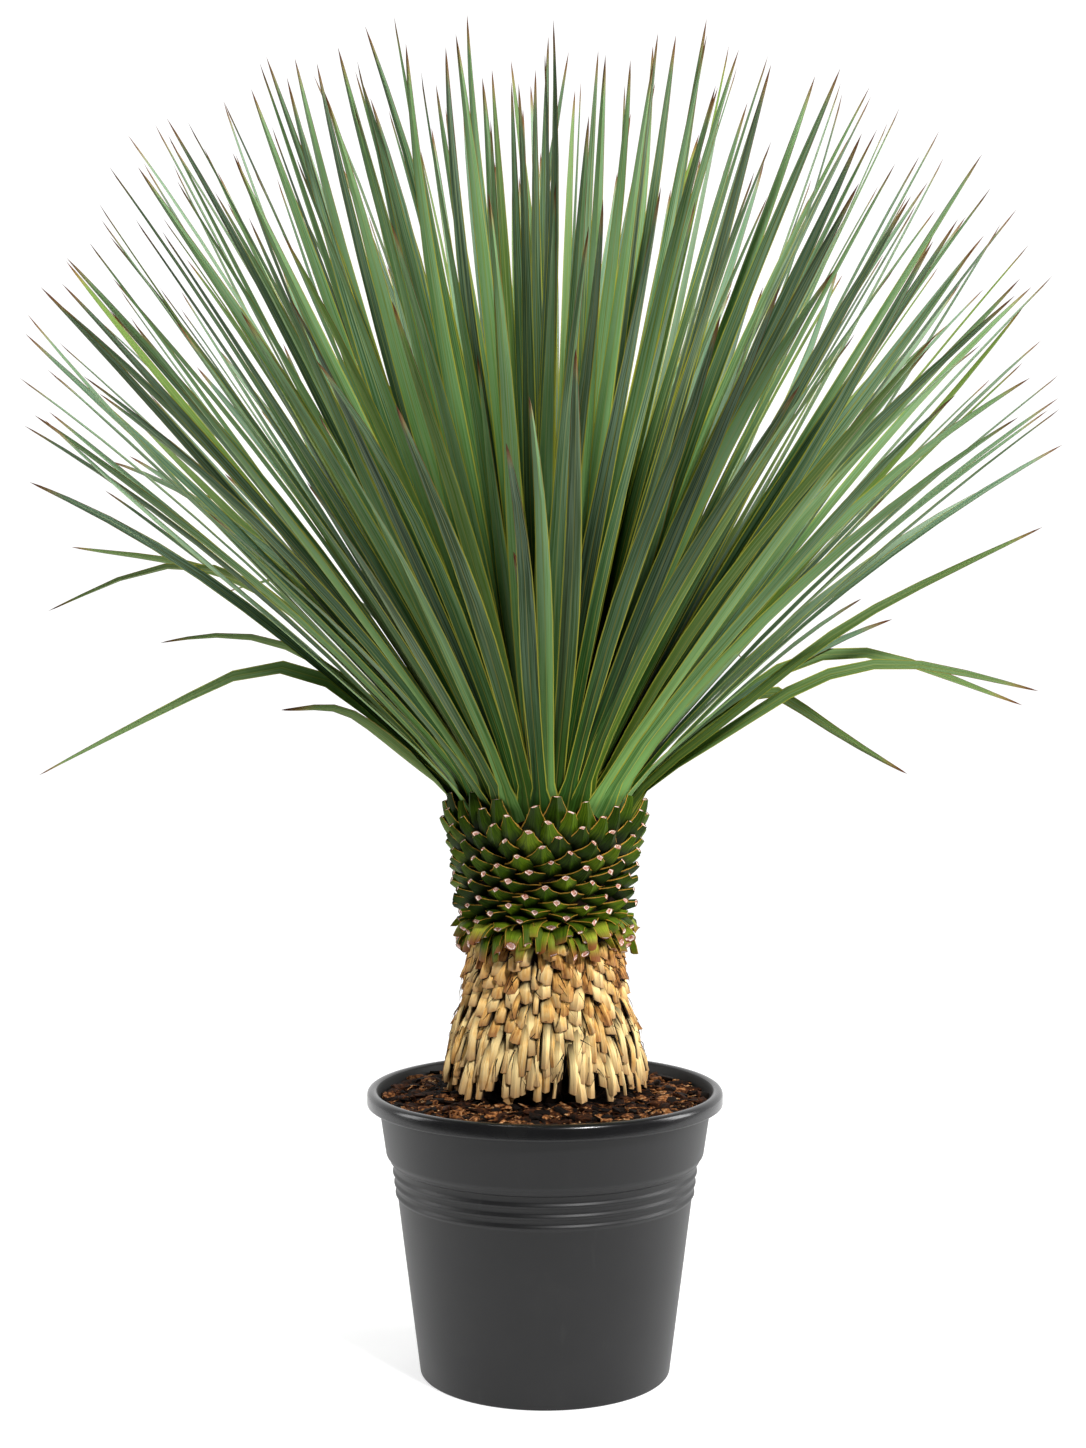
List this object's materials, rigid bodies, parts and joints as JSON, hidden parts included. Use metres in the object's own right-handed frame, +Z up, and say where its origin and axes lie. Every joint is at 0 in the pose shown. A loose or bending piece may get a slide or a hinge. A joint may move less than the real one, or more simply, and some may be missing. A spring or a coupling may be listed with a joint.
{
  "type": "potted yucca",
  "caption": "Yucca with a full round head of narrow leaves above a trunk of trimmed leaf bases, growing in a ribbed black nursery pot.",
  "frame": {"origin": "middle of the pot's underside, on the floor", "axes": "+Z up along the trunk, -Y towards the viewer of the picture, +X to the viewer's right"},
  "size_m": [0.9224, 0.9174, 1.1347],
  "materials": {
    "black_plastic": "moulded charcoal polypropylene, slightly glossier on the lip",
    "peat": "damp dark peat with bark crumbs",
    "dry_straw": "dry fibrous leaf bases, straw to brown, darker at the cuts",
    "green_sheath": "waxy green leaf bases with pale fresh cuts",
    "green_leaf": "satin blue-green leaves with thin yellow margins and dry brown tips"
  },
  "bodies": {
    "root": {"pot": "black_plastic", "soil": "peat", "trunk_dry": "dry_straw", "green_collar": "green_sheath", "leaf_head": "green_leaf"}
  },
  "joints": []
}
